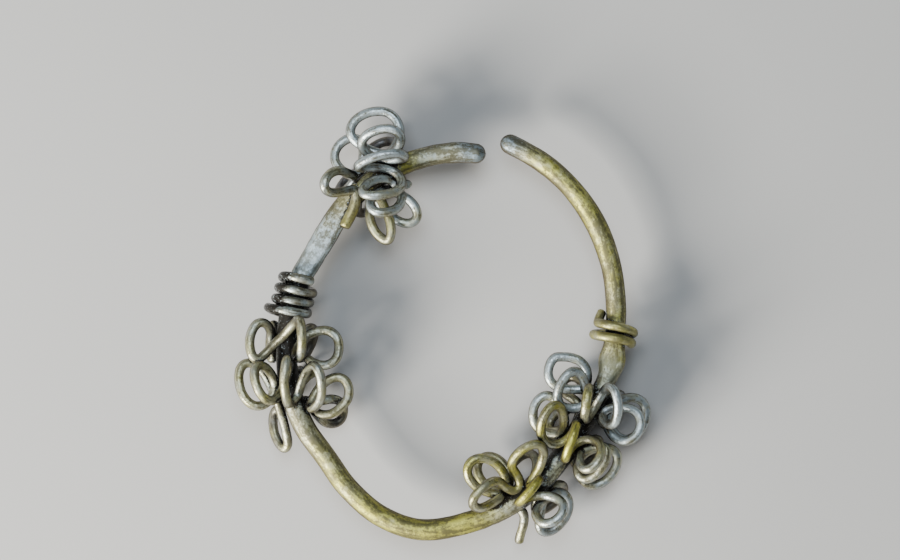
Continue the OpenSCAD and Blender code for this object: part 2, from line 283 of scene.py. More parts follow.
class RingLine:
    """The middle line of the ring wire, with its width, height and squareness by the place along it. It is
    drawn in steps between stations, and its direction is taken over a short reach."""

    steps = 24
    reach = 0.5 * MM

    def __init__(self, sizes):
        stations = [
            np.array(
                (
                    sizes.ring_radius * row[REACH] * math.cos(math.radians(row[TURN])),
                    sizes.ring_radius * row[REACH] * math.sin(math.radians(row[TURN])),
                    sizes.ring_wire * row[WIDE],
                    sizes.ring_wire * row[TALL],
                    row[SQUARE],
                )
            )
            for row in RING_STATIONS
        ]
        ends = [stations[0], *stations, stations[-1]]
        rows = [
            between(*ends[i : i + 4], k / self.steps)
            for i in range(len(stations) - 1)
            for k in range(self.steps)
        ]
        self.rows = np.array(rows + [stations[-1]])
        lengths = np.linalg.norm(np.diff(self.rows[:, :2], axis=0), axis=1)
        self.at = np.concatenate(([0], np.cumsum(lengths)))
        self.length = self.at[-1]

    def value(self, place, column):
        """X, y, width, height or squareness, by its column, at a place in metres along the wire."""
        return float(np.interp(place, self.at, self.rows[:, column]))

    def point(self, place):
        return Vector((self.value(place, 0), self.value(place, 1), 0))

    def outward(self, place):
        """The way out of the ring, square to the wire."""
        along = self.point(place + self.reach) - self.point(place - self.reach)
        return Vector((along.y, -along.x, 0)).normalized()

    def around(self, place, roll, away, side):
        """A point off the wire's middle line: away in the direction of roll, and sideways round the wire."""
        roll = math.radians(roll)
        out = away * math.cos(roll) - side * math.sin(roll)
        up = away * math.sin(roll) + side * math.cos(roll)
        return self.point(place) + self.outward(place) * out + Vector((0, 0, up))


# The wire slips towards the next loop's place over this angle, in degrees, before a loop's root
SLIP_ANGLE = 85


def slip(angle):
    """Share of the way to the next loop's place that the wire has slipped at an angle from the crown."""
    x = max(abs(angle) - 180 + SLIP_ANGLE, 0) / SLIP_ANGLE
    return x * x / 2


def loop_row(rows, number, angle):
    """A loop's row, blended into its neighbour's near the root."""
    other = min(max(number + (1 if angle > 0 else -1), 0), len(rows) - 1)
    share = 0 if other == number else slip(angle)
    return [a * (1 - share) + b * share for a, b in zip(rows[number], rows[other])]


def root_radius(sizes, thin_wire):
    """Distance of a thin wire's middle from that of the ring wire, where it lies closest."""
    return sizes.ring_wire / 2 + sizes.wire_gap + thin_wire / 2


def loop_point(ring, sizes, middle, row, angle):
    """Point of the bead's wire, at an angle from a loop's crown."""
    turn = math.radians(angle)
    spin = math.radians(row[SPIN])
    away = sizes.loop_tall * row[TALLNESS] * (1 + math.cos(turn)) / 2
    across = -sizes.loop_broad * row[BREADTH] / 2 * math.sin(turn) * (1 + sizes.loop_taper * math.cos(turn))
    place = middle + row[ALONG] * MM + across * math.cos(spin) + away * math.tan(math.radians(row[LEAN]))
    return ring.around(place, row[ROLL], root_radius(sizes, sizes.bead_wire) + away, across * math.sin(spin))


# Share of a turn in which a thin wire's end is rounded off, and the angles at which wires' ends are drawn
END_TURN = 0.03
THIN_END_ANGLES = (0, 25, 45, 62, 76, 90)
RING_END_ANGLES = (0, 12, 24, 36, 48, 60, 70, 80, 90)


def rounded_end(size, angles):
    """Steps along a rounded end, from its tip."""
    return [size * (1 - math.cos(math.radians(angle))) for angle in angles]


def turn_counts(first, last, per_turn):
    """Counts of turns at which a wire is drawn, closer together where its ends are rounded off."""
    dome = rounded_end(END_TURN, THIN_END_ANGLES)
    body = np.linspace(first + END_TURN, last - END_TURN, int((last - first) * per_turn) + 1)[1:-1]
    return [first + d for d in dome] + list(body) + [last - d for d in reversed(dome)]


def bead_wire(ring, sizes, bead):
    """Points of a bead's wire, with the tint and the share of tarnish of each."""
    _, middle, first, last, rows, _, dark, _, _ = bead
    points, tints = [], []
    for count in turn_counts(first, last, sizes.rings_per_turn):
        number = min(max(math.floor(count + 0.5), 0), len(rows) - 1)
        angle = 360 * (count - number)
        row = loop_row(rows, number, angle)
        points.append(loop_point(ring, sizes, middle * MM, row, angle))
        tints.append(row[TINT])
    return points, tints, [dark] * len(points)


# How much of a binding counts as its outer side: a share of the cosine of its roll, and a shift
OUTER_SHARE, OUTER_SHIFT = 1.6, 0.1


def binding_wire(ring, sizes, binding):
    """Points of a binding's wire, with the tint and the share of tarnish of each."""
    _, middle, start, sense, rows, tint, dark, outer_dark, _, _ = binding
    counts = [row[COUNT] for row in rows]
    points, darks = [], []
    for count in turn_counts(0, counts[-1], sizes.rings_per_turn):
        place = (middle + np.interp(count, counts, [row[ALONG] for row in rows])) * MM
        loose = np.interp(count, counts, [row[LOOSE] for row in rows]) * MM
        away = root_radius(sizes, sizes.binding_wire) + loose
        roll = start + sense * 360 * count
        points.append(ring.around(place, roll, away, 0))
        outer = OUTER_SHARE * math.cos(math.radians(roll)) + OUTER_SHIFT
        darks.append(dark + outer_dark * min(max(outer, 0), 1))
    return points, [tint] * len(points), darks


def wire_lines(sizes):
    """The ring line and every thin wire's line, moved to where the ring lies on its loops."""
    ring = RingLine(sizes)
    lines = {bead[0]: bead_wire(ring, sizes, bead) for bead in BEADS}
    coils = [p for points, _, _ in lines.values() for p in points]
    low = Vector([min(p[axis] for p in coils) for axis in range(3)])
    high = Vector([max(p[axis] for p in coils) for axis in range(3)])
    lift = Vector((-(low.x + high.x) / 2, -(low.y + high.y) / 2, sizes.bead_wire / 2 - low.z))
    lines.update({binding[0]: binding_wire(ring, sizes, binding) for binding in BINDINGS})
    return ring, lift, lines


def open_ways(count):
    """Directions spread evenly over a ball."""
    up = 1 - (2 * np.arange(count) + 1) / count
    turn = np.arange(count) * math.pi * (3 - math.sqrt(5))
    flat = np.sqrt(1 - up**2)
    return [Vector(way) for way in zip(flat * np.cos(turn), flat * np.sin(turn), up)]


# Occlusion by other wires, which darkens the alloy as painted shade and as tarnish, is looked for in this
# many directions from just above each point, except along the surface
OCCLUSION_WAYS = 40
OCCLUSION_START = 0.03 * MM
LEAST_SLANT = 0.08


def occlusion(mesh, wires, reach):
    """How far wires close by occlude each point of a mesh, from 0 to 1, for painted shade in the recesses and
    for tarnish.
    """
    shares = []
    ways = open_ways(OCCLUSION_WAYS)
    for vertex in mesh.vertices:
        normal = vertex.normal
        start = vertex.co + normal * OCCLUSION_START
        seen = met = 0
        for way in ways:
            slant = normal.dot(way)
            if slant > LEAST_SLANT:
                seen += slant
                distance = wires.ray_cast(start, way, reach)[3]
                if distance is not None:
                    met += slant * (1 - distance / reach)
        shares.append(met / seen)
    return shares


# Node trees


def add_node(tree, kind, inputs=None, **settings):
    """One node of a tree, with its settings and its inputs as values or as links."""
    made = tree.nodes.new(kind)
    for name, value in settings.items():
        setattr(made, name, value)
    for name, value in (inputs or {}).items():
        if isinstance(value, bpy.types.NodeSocket):
            tree.links.new(value, made.inputs[name])
        else:
            made.inputs[name].default_value = value
    return made


def calculate(tree, operation, *values):
    """A Math node's result."""
    return add_node(tree, "ShaderNodeMath", dict(enumerate(values)), operation=operation).outputs[0]


def vector_of(tree, operation, *values):
    """A Vector Math node's result."""
    names = (0, "Scale") if operation == "SCALE" else range(len(values))
    inputs = dict(zip(names, values))
    return add_node(tree, "ShaderNodeVectorMath", inputs, operation=operation).outputs[0]


def spread(tree, value, low, high, to_low=0.0, to_high=1.0):
    """A value stretched smoothly from one range to another, and held inside it."""
    inputs = {"Value": value, "From Min": low, "From Max": high, "To Min": to_low, "To Max": to_high}
    return add_node(tree, "ShaderNodeMapRange", inputs, interpolation_type="SMOOTHSTEP").outputs["Result"]


# Inputs of the trees that draw wires, with a thin wire's values
WIRE_INPUTS = (
    ("Path", "NodeSocketGeometry", None),
    ("Sides", "NodeSocketInt", 14),
    ("End Dome", "NodeSocketFloat", 0.4 * MM),
    ("Unevenness", "NodeSocketFloat", 0.1 * MM),
    ("Uneven Size", "NodeSocketFloat", 1.6 * MM),
    ("Facet Depth", "NodeSocketFloat", 0.0),
    ("Facet Size", "NodeSocketFloat", 1.6 * MM),
    ("Seed", "NodeSocketInt", 1),
    ("Material", "NodeSocketMaterial", None),
)
# Share of a wire's thickness at the tip of its rounded end, and how far each seed moves the unevenness
LEAST_GROWTH = 0.15
SEED_STEP = 37 * MM


def wire_tree(name, curve_normal):
    """Node tree that draws a wire along a path. The path carries the wire's width, height, squareness and
    hammering, and the tree rounds its ends, wraps it, hammers it and gives it its material."""
    tree = bpy.data.node_groups.new(name, "GeometryNodeTree")
    for label, kind, default in WIRE_INPUTS:
        socket = tree.interface.new_socket(name=label, in_out="INPUT", socket_type=kind)
        if default is not None:
            socket.default_value = default
    tree.interface.new_socket(name="Wire", in_out="OUTPUT", socket_type="NodeSocketGeometry")
    given = add_node(tree, "NodeGroupInput").outputs

    def named(label, data_type="FLOAT"):
        node = add_node(tree, "GeometryNodeInputNamedAttribute", {"Name": label}, data_type=data_type)
        return node.outputs["Attribute"]

    def stored(geometry, label, value, data_type="FLOAT_VECTOR"):
        inputs = {"Geometry": geometry, "Name": label, "Value": value}
        node = add_node(tree, "GeometryNodeStoreNamedAttribute", inputs, data_type=data_type)
        return node.outputs["Geometry"]

    curve = add_node(tree, "GeometryNodeMeshToCurve", {"Mesh": given["Path"]}).outputs["Curve"]
    curve = add_node(tree, "GeometryNodeSetCurveNormal", {"Curve": curve}, mode=curve_normal).outputs["Curve"]
    along = add_node(tree, "GeometryNodeSplineParameter").outputs["Length"]
    whole = add_node(tree, "GeometryNodeSplineLength").outputs["Length"]
    from_end = calculate(tree, "MINIMUM", along, calculate(tree, "SUBTRACT", whole, along))
    rest = calculate(tree, "SUBTRACT", 1.0, calculate(tree, "DIVIDE", from_end, given["End Dome"]))
    rest = calculate(tree, "MAXIMUM", rest, 0.0)
    growth = calculate(tree, "SUBTRACT", 1.0, calculate(tree, "MULTIPLY", rest, rest))
    growth = calculate(tree, "MAXIMUM", calculate(tree, "SQRT", growth), LEAST_GROWTH)
    middle = add_node(tree, "GeometryNodeInputPosition").outputs["Position"]
    sideways = add_node(tree, "GeometryNodeInputNormal").outputs["Normal"]
    forwards = add_node(tree, "GeometryNodeInputTangent").outputs["Tangent"]
    curve = stored(curve, "growth", growth, "FLOAT")
    curve = stored(curve, "middle", middle)
    curve = stored(curve, "sideways", sideways)
    curve = stored(curve, "upwards", vector_of(tree, "CROSS_PRODUCT", forwards, sideways))

    circle = add_node(tree, "GeometryNodeCurvePrimitiveCircle", {"Resolution": given["Sides"], "Radius": MM})
    spot = add_node(tree, "GeometryNodeInputPosition").outputs["Position"]
    profile = stored(circle.outputs["Curve"], "round", vector_of(tree, "SCALE", spot, 1 / MM))
    inputs = {"Curve": curve, "Profile Curve": profile, "Fill Caps": True}
    mesh = add_node(tree, "GeometryNodeCurveToMesh", inputs).outputs["Mesh"]

    parts = add_node(tree, "ShaderNodeSeparateXYZ", {"Vector": named("round", "FLOAT_VECTOR")}).outputs
    power = calculate(tree, "DIVIDE", 2.0, named("square"))
    place = named("middle", "FLOAT_VECTOR")
    for part, size, way in (("X", "wide", "sideways"), ("Y", "tall", "upwards")):
        swell = calculate(tree, "POWER", calculate(tree, "ABSOLUTE", parts[part]), power)
        swell = calculate(tree, "MULTIPLY", swell, calculate(tree, "SIGN", parts[part]))
        reach = calculate(tree, "MULTIPLY", named(size), calculate(tree, "MULTIPLY", named("growth"), 0.5))
        reach = calculate(tree, "MULTIPLY", reach, swell)
        step = vector_of(tree, "SCALE", named(way, "FLOAT_VECTOR"), reach)
        place = vector_of(tree, "ADD", place, step)
    inputs = {"Geometry": mesh, "Position": place}
    mesh = add_node(tree, "GeometryNodeSetPosition", inputs).outputs["Geometry"]

    spot = add_node(tree, "GeometryNodeInputPosition").outputs["Position"]
    seed = calculate(tree, "MULTIPLY", given["Seed"], SEED_STEP)
    moved = vector_of(tree, "ADD", spot, add_node(tree, "ShaderNodeCombineXYZ", {"X": seed}).outputs[0])
    inputs = {"Vector": moved, "Scale": calculate(tree, "DIVIDE", 1.0, given["Uneven Size"]), "Detail": 2.0}
    bumps = calculate(tree, "SUBTRACT", add_node(tree, "ShaderNodeTexNoise", inputs).outputs[0], 0.5)
    bumps = calculate(tree, "MULTIPLY", bumps, given["Unevenness"])
    inputs = {"Vector": moved, "Scale": calculate(tree, "DIVIDE", 1.0, given["Facet Size"])}
    facets = add_node(tree, "ShaderNodeTexVoronoi", inputs).outputs["Distance"]
    facets = calculate(tree, "MULTIPLY", calculate(tree, "SUBTRACT", facets, 0.5), given["Facet Depth"])
    facets = calculate(tree, "MULTIPLY", facets, named("hammer"))
    normal = add_node(tree, "GeometryNodeInputNormal").outputs["Normal"]
    offset = vector_of(tree, "SCALE", normal, calculate(tree, "ADD", bumps, facets))
    inputs = {"Geometry": mesh, "Offset": offset}
    mesh = add_node(tree, "GeometryNodeSetPosition", inputs).outputs["Geometry"]
    mesh = add_node(tree, "GeometryNodeSetShadeSmooth", {"Geometry": mesh}).outputs["Geometry"]
    mesh = add_node(tree, "GeometryNodeRealizeInstances", {"Geometry": mesh}).outputs["Geometry"]
    inputs = {"Geometry": mesh, "Material": given["Material"]}
    mesh = add_node(tree, "GeometryNodeSetMaterial", inputs).outputs["Geometry"]
    add_node(tree, "NodeGroupOutput", {"Wire": mesh})
    return tree


def note(mesh, label, values):
    """Keeps a number for each point of a mesh."""
    attribute = mesh.attributes.new(label, "FLOAT", "POINT")
    attribute.data.foreach_set("value", [float(value) for value in values])


def path_mesh(name, points, numbers):
    """An open line of edges whose points carry numbers by name."""
    mesh = bpy.data.meshes.new(name)
    mesh.from_pydata([tuple(p) for p in points], [(i, i + 1) for i in range(len(points) - 1)], [])
    for label, values in numbers.items():
        note(mesh, label, values)
    return mesh


# What paths and trees carry for the shape alone, which a piece doesn't keep
WORKING_ATTRIBUTES = ("growth", "middle", "sideways", "upwards", "wide", "tall", "square", "hammer", "radius")
WORN = "_worn"
# How far a side of a piece's box may be from that of its solid's
BOX_LIMIT = 0.5 * MM


def inside_out(mesh):
    """Whether a closed mesh's faces point inwards."""
    volume = 0
    for triangle in mesh.loop_triangles:
        a, b, c = (mesh.vertices[i].co for i in triangle.vertices)
        volume += a.dot(b.cross(c))
    return volume < 0


def draw_wire(node, slot, tree, path, **values):
    """A piece of worn wire: the tree is run on the path, its result is kept as a plain mesh, and the piece
    stands for the CAD node."""
    name = node + WORN
    carrier = bpy.data.objects.new(name, path)
    bpy.context.scene.collection.objects.link(carrier)
    modifier = carrier.modifiers.new("Wire", "NODES")
    modifier.node_group = tree
    sockets = {item.name: item.identifier for item in tree.interface.items_tree if item.in_out == "INPUT"}
    for label, value in values.items():
        modifier[sockets[label.replace("_", " ").title()]] = value
    bpy.context.view_layer.update()
    drawn = carrier.evaluated_get(bpy.context.evaluated_depsgraph_get())
    mesh = bpy.data.meshes.new_from_object(drawn)
    carrier.modifiers.remove(modifier)
    carrier.data = mesh
    bpy.data.meshes.remove(path)
    mesh.name = name
    for label in WORKING_ATTRIBUTES:
        if label in mesh.attributes:
            mesh.attributes.remove(mesh.attributes[label])
    if not mesh.polygons or inside_out(mesh):
        raise RuntimeError(f"{name} has no faces, or its faces point inwards")
    low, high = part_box(node)
    spots = np.array([v.co for v in mesh.vertices])
    apart = max(np.abs(spots.min(0) - low).max(), np.abs(spots.max(0) - high).max())
    if apart > BOX_LIMIT:
        raise RuntimeError(f"{name} reaches {apart / MM:.2f} mm further or less far than its solid")
    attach(carrier, "root")
    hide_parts(node)
    return carrier


# Finish


# Sizes of what the finish is made of
PATCHES, BLOTCHES, SPECKS, GRAIN = 2.6 * MM, 0.8 * MM, 0.26 * MM, 0.09 * MM
# How often the draw lines change across a wire, over its half thickness, and along it, in each mm
LINES_ACROSS, LINES_ALONG = 2.5, 0.3
# Heights, and distances from the ring wire's middle, in mm, between which the painted lilac shade sets in
LILAC_SHADE_HEIGHTS = (5.6, 2.4)
LILAC_SHADE_DISTANCES = (4.6, 2.0)


def colour_of(tree, value, low, high):
    """A mix of two colours by a share."""
    inputs = {0: value, 6: low, 7: high}
    return add_node(tree, "ShaderNodeMix", inputs, data_type="RGBA").outputs[2]


def worn_alloy(name, finish, tint_shift, patchiness, tarnish, dulled, roughness):
    """Worn copper alloy: silver grey, cream or yellow by its tint, with painted shade on its sides, painted
    lilac shade near the roots of the loops and on the loops underneath, and dark brown tarnish with silver
    specks, partly painted shade, where wires occlude it."""
    material = bpy.data.materials.new(name)
    material.use_nodes = True
    tree = material.node_tree
    tree.nodes.clear()

    def noise(size, detail, harshness=0.55, vector=None):
        spot = vector or add_node(tree, "ShaderNodeTexCoord").outputs["Object"]
        inputs = {"Vector": spot, "Scale": 1 / size, "Detail": detail, "Roughness": harshness}
        return add_node(tree, "ShaderNodeTexNoise", inputs).outputs[0]

    def attribute(label, output="Fac"):
        return add_node(tree, "ShaderNodeAttribute", attribute_name=label).outputs[output]

    def total(*shares):
        """Sum of values, each taken about a middle and weighed: (value, middle, weight)."""
        result = None
        for value, middle, weight in shares:
            part = calculate(tree, "MULTIPLY", calculate(tree, "SUBTRACT", value, middle), weight)
            result = part if result is None else calculate(tree, "ADD", result, part)
        return result

    def product(*values):
        result = values[0]
        for value in values[1:]:
            result = calculate(tree, "MULTIPLY", result, value)
        return result

    patches = noise(PATCHES, 3)
    blotches = noise(BLOTCHES, 4, 0.6)
    specks = noise(SPECKS, 3, 0.65)
    grain = noise(GRAIN, 2)
    around = vector_of(tree, "MULTIPLY", attribute("round", "Vector"), (LINES_ACROSS, LINES_ACROSS, 0))
    along = add_node(tree, "ShaderNodeCombineXYZ", {"Z": product(attribute("place"), LINES_ALONG)})
    drawn = noise(1.0, 4, 0.65, vector_of(tree, "ADD", around, along.outputs[0]))

    # Where it is polished by wear, and painted shade on the sides, darker the less the surface faces up and
    # weaker where polished
    worn = spread(tree, attribute("dark"), 0.0, -0.4)
    unworn = calculate(tree, "SUBTRACT", 1.0, product(worn, 0.7))
    coordinates = add_node(tree, "ShaderNodeTexCoord").outputs
    up = add_node(tree, "ShaderNodeSeparateXYZ", {"Vector": coordinates["Normal"]}).outputs["Z"]
    side = product(spread(tree, total((up, 0, 1), (blotches, 0.5, 0.9)), 0.85, 0.2), unworn)

    # The alloy by its tint, with the blue grey film and the dull patches
    hue = total((attribute("tint"), -tint_shift, 1), (patches, 0.5, patchiness), (blotches, 0.5, 1.3))
    metal = colour_of(tree, spread(tree, hue, -0.8, 0.1), finish.silver[:], finish.cream[:])
    metal = colour_of(tree, spread(tree, hue, 0.0, 0.9), metal, finish.brass[:])
    film = spread(tree, total((attribute("blue"), 0, 1), (blotches, 0.5, 0.8)), 0.3, 0.8)
    metal = colour_of(tree, product(film, 0.75), metal, finish.blue_grey[:])
    dull = total((blotches, 0.5 - dulled, 1.0), (specks, 0.5, 0.8), (drawn, 0.5, 1.8))
    metal = colour_of(tree, product(spread(tree, dull, -0.08, 0.34), unworn, 0.85), metal, finish.dull[:])

    # Painted lilac shade near the roots and on the loops underneath, and painted shade on the sides
    height = add_node(tree, "ShaderNodeSeparateXYZ", {"Vector": coordinates["Object"]}).outputs["Z"]
    low = spread(tree, total((height, 0, 1 / MM), (patches, 0.5, 3)), *LILAC_SHADE_HEIGHTS)
    root = spread(tree, attribute("standing"), *LILAC_SHADE_DISTANCES)
    root = product(spread(tree, patches, 0.42, 0.6), root, 0.5)
    painted_lilac_shade = calculate(tree, "MAXIMUM", root, product(low, 0.75))
    metal = colour_of(tree, painted_lilac_shade, metal, finish.painted_lilac_shade[:])
    # Painted shade on the sides
    metal = colour_of(tree, product(side, 0.88), metal, finish.shade[:])

    # Tarnish, together with painted shade where wires occlude each other and on the sides, with silver specks
    # in it
    dark = total(
        (attribute("sheltered"), 0, 2.0), (attribute("dark"), 0, 0.6), (side, 0.5, 0.5),
        (blotches, 0.5, 1.1), (specks, 0.5, 0.8),
    )
    dark = spread(tree, dark, 0.6 - tarnish, 0.95 - tarnish)
    deep = colour_of(tree, spread(tree, specks, 0.35, 0.6), finish.black_tarnish_and_shade[:], finish.tarnish[:])
    spark = product(spread(tree, specks, 0.57, 0.66), spread(tree, blotches, 0.46, 0.6), 0.9)
    colour = colour_of(tree, product(dark, 0.97), metal, deep)
    colour = colour_of(tree, product(dark, spark), colour, finish.silver[:])
    covered = calculate(tree, "SUBTRACT", dark, product(dark, spark))

    # Roughness, and relief with pits
    rough = spread(tree, specks, 0.3, 0.75, roughness, roughness + 0.16)
    rough = calculate(tree, "ADD", rough, total((worn, 0, -0.14), (dark, 0, -0.16), (grain, 0.5, 0.12)))
    relief = total((blotches, 0, 0.5), (specks, 0, 0.35), (grain, 0, 0.08), (drawn, 0, 0.25))
    pits = spread(tree, specks, 0.66, 0.73)
    relief = calculate(tree, "SUBTRACT", relief, product(pits, 0.5))
    bump = add_node(tree, "ShaderNodeBump", {"Height": relief, "Strength": 0.8, "Distance": 0.15 * MM})
    inputs = {
        "Base Color": colour,
        "Metallic": total((covered, 1.25, -0.6)),
        "Specular IOR Level": 0.2,
        "Roughness": rough,
        "Normal": bump.outputs["Normal"],
    }
    shader = add_node(tree, "ShaderNodeBsdfPrincipled", inputs)
    add_node(tree, "ShaderNodeOutputMaterial", {"Surface": shader.outputs[0]})
    return material


# What a user may change


def length(label, default, text):
    """A length that a user may change."""
    return bpy.props.FloatProperty(
        name=label, description=text, default=default, min=0, max=0.1, unit="LENGTH", precision=5
    )


def share(label, default, text):
    """A share that a user may change."""
    return bpy.props.FloatProperty(name=label, description=text, default=default, min=0, max=2)


def colour(label, default, text):
    """A colour that a user may change."""
    return bpy.props.FloatVectorProperty(
        name=label, description=text, default=(*default, 1), size=4, min=0, max=1, subtype="COLOR"
    )


class TempleRingSizes(bpy.types.PropertyGroup):
    """Sizes of the wires and of a usual loop"""

    ring_radius: length("Ring radius", 21.5 * MM, "Mean radius of the ring, to the middle of its wire")
    ring_wire: length("Ring wire", 2.7 * MM, "Thickness of the ring wire where it is round")
    bead_wire: length("Bead wire", 1.1 * MM, "Thickness of the wire of the beads")
    binding_wire: length("Binding wire", 1.1 * MM, "Thickness of the wire of the bindings")
    wire_gap: length("Wire gap", 0.12 * MM, "Clearance between the ring wire and the wires round it")
    loop_tall: length("Loop height", 4.2 * MM, "How far a usual loop stands out beyond its root")
    loop_broad: length("Loop width", 4.4 * MM, "Width of a usual loop")
    loop_taper: share("Loop taper", 0.2, "How much narrower a loop is at its root")
    rings_per_turn: bpy.props.IntProperty(
        name="Steps in a turn", description="Steps in which a loop or a turn is drawn", default=48, min=12
    )
    facet_depth: length("Hammer depth", 0.16 * MM, "Depth of the hammer marks on the ring wire")
    unevenness: length("Unevenness", 0.10 * MM, "How uneven the thin wire is")
    fullness: share("Fullness", 1.09, "How much fuller than its solid a thin wire is drawn")
    # Reach of the occlusion that darkens the wires with painted shade and tarnish
    occlusion_reach: length("Shelter reach", 4.0 * MM, "How close a wire is that shelters another from wear")


class TempleRingFinish(bpy.types.PropertyGroup):
    """Colours of the worn alloy, the floor and the light"""

    brass: colour("Brass", (0.72, 0.69, 0.15), "Alloy where it is yellow")
    cream: colour("Cream", (0.68, 0.67, 0.44), "Alloy between yellow and silver")
    silver: colour("Silver grey", (0.72, 0.83, 0.86), "Alloy where it is pale grey")
    blue_grey: colour("Blue grey", (0.33, 0.43, 0.50), "Film at the free ends")
    dull: colour("Dull patches", (0.17, 0.155, 0.09), "Dull patches of all the tints")
    # Painted lilac shade near the roots and on the loops underneath
    painted_lilac_shade: colour("Lilac grey", (0.11, 0.09, 0.105), "Tint near the roots and on the loops underneath")
    # Painted shade of the sides of the wires, darker the less they face up
    shade: colour("Sides", (0.10, 0.075, 0.04), "Duller alloy of the sides, which wear less")
    # Tarnish colours, also painted as shade where wires occlude each other and on the sides
    tarnish: colour("Tarnish", (0.018, 0.012, 0.008), "Brown tarnish in sheltered places")
    black_tarnish_and_shade: colour("Black tarnish", (0.005, 0.0045, 0.0045), "Its darkest places")
    floor: colour("Floor", (0.70, 0.695, 0.68), "Plain pale surface that the ring lies on")
    key_light: colour("Main light", (1.0, 0.97, 0.90), "Soft light from the lower left")
    fill_light: colour("Fill light", (0.80, 0.90, 1.0), "Soft light from above")


# Alloys of the slots: shift of the tint, how patchy it is, extra tarnish and painted shade, extra dullness,
# and roughness where it is worn
ALLOYS = {
    "yellow_alloy": (0.0, 1.2, 0.02, 0.16, 0.46),
    "pale_alloy": (0.0, 1.9, 0.08, 0.02, 0.30),
    "olive_alloy": (0.05, 2.6, 0.08, 0, 0.30),
}


def alloy(slot, finish):
    """The material of a slot, made when it is first asked for."""
    name = "worn_" + slot
    return bpy.data.materials.get(name) or worn_alloy(name, finish, *ALLOYS[slot])


# How the ring wire is drawn: the steps along it, its sides, the length of its rounded ends as a share of its
# thickness, and how uneven it is
RING_STEP = 0.25 * MM
RING_SIDES = 40
RING_DOME = 0.45
RING_UNEVENNESS, RING_UNEVEN_SIZE = 0.08 * MM, 3.5 * MM
# Lengths over which a thin wire's first end is stouter, and down to which it narrows, in mm
STOUT_LENGTH, NARROWED_LENGTH = 3, 5
# The ring wire is taken to stand this far from its own middle, in mm, beyond the painted lilac shade of the
# roots
RING_STANDING = 5.0
# Parts in which the distances of a mesh's points are worked out, to spare memory
DISTANCE_PARTS = 40


def thin_wire_numbers(line, thickness, stouter):
    """What the path of a thin wire carries for its shape and its finish."""
    points, tints, darks = line
    count = len(points)
    steps = [(b - a).length for a, b in zip(points, points[1:])]
    along = np.concatenate(([0], np.cumsum(steps))) / MM
    thick = thickness * np.interp(along, (0, STOUT_LENGTH, NARROWED_LENGTH), (stouter, stouter, 1))
    return {
        "wide": thick,
        "tall": thick,
        "square": [2] * count,
        "tint": tints,
        "dark": darks,
        "blue": [0] * count,
        "place": along,
    }


def add_standing(mesh, ring, lift):
    """Notes on each point of a piece how far it stands from the middle of the ring wire, in mm."""
    line = np.column_stack((ring.rows[:, 0], ring.rows[:, 1], np.zeros(len(ring.rows)))) + np.array(lift)
    spots = np.array([v.co for v in mesh.vertices])
    parts = np.array_split(spots, DISTANCE_PARTS)
    away = np.concatenate([np.linalg.norm(part[:, None] - line[None], axis=2).min(axis=1) for part in parts])
    note(mesh, "standing", away / MM)


def draw_thin_wires(context, tree_name, wires, thickness):
    """Draws wires of (node, slot of its alloy, seed, how much stouter its first end is)."""
    sizes, finish = context.scene.temple_ring_sizes, context.scene.temple_ring_finish
    ring, lift, lines = wire_lines(sizes)
    tree = wire_tree(tree_name, "MINIMUM_TWIST")
    for node, slot, seed, stouter in wires:
        numbers = thin_wire_numbers(lines[node], thickness * sizes.fullness, stouter)
        path = path_mesh(node + "_path", [p + lift for p in lines[node][0]], numbers)
        values = {"unevenness": sizes.unevenness, "seed": seed, "material": alloy(slot, finish)}
        piece = draw_wire(node, slot, tree, path, **values)
        add_standing(piece.data, ring, lift)


class TEMPLERING_OT_ring_wire(bpy.types.Operator):
    """Draw the stout ring wire, hammered flat beside its top bead and under its right binding"""

    bl_idname = "templering.ring_wire"
    bl_label = "Ring wire"

    def execute(self, context):
        sizes, finish = context.scene.temple_ring_sizes, context.scene.temple_ring_finish
        ring, lift, _ = wire_lines(sizes)
        dome = sizes.ring_wire * RING_DOME
        ends = rounded_end(dome, RING_END_ANGLES)
        body = np.arange(dome, ring.length - dome, RING_STEP)[1:]
        places = ends + list(body) + [ring.length - s for s in reversed(ends)]
        points = [ring.point(s) + lift for s in places]
        numbers = {"place": np.array(places) / MM}
        for label, column in (("wide", WIDE), ("tall", TALL), ("square", SQUARE)):
            numbers[label] = [ring.value(s, column) for s in places]
        finish_at = [row[PLACE] * MM for row in RING_FINISH]
        for label, column in (("hammer", HAMMER), ("tint", RING_TINT), ("dark", DARK), ("blue", BLUE)):
            numbers[label] = np.interp(places, finish_at, [row[column] for row in RING_FINISH])
        path = path_mesh("ring_wire_path", points, numbers)
        tree = wire_tree("Ring wire along a path", "Z_UP")
        piece = draw_wire(
            "ring_wire", "yellow_alloy", tree, path,
            sides=RING_SIDES, end_dome=dome, unevenness=RING_UNEVENNESS, uneven_size=RING_UNEVEN_SIZE,
            facet_depth=sizes.facet_depth, seed=1, material=alloy("yellow_alloy", finish),
        )
        note(piece.data, "standing", [RING_STANDING] * len(piece.data.vertices))
        return {"FINISHED"}


class TEMPLERING_OT_beads(bpy.types.Operator):
    """Coil the four openwork beads, each of one thin wire"""

    bl_idname = "templering.beads"
    bl_label = "Openwork beads"

    def execute(self, context):
        wires = [(node, slot, seed, stouter) for node, _, _, _, _, stouter, _, slot, seed in BEADS]
        thickness = context.scene.temple_ring_sizes.bead_wire
        draw_thin_wires(context, "Thin wire along a path", wires, thickness)
        return {"FINISHED"}


class TEMPLERING_OT_bindings(bpy.types.Operator):
    """Wind the two short bindings"""

    bl_idname = "templering.bindings"
    bl_label = "Bindings"

    def execute(self, context):
        wires = [(node, slot, seed, 1) for node, *_, slot, seed in BINDINGS]
        thickness = context.scene.temple_ring_sizes.binding_wire
        draw_thin_wires(context, "Binding wire along a path", wires, thickness)
        return {"FINISHED"}


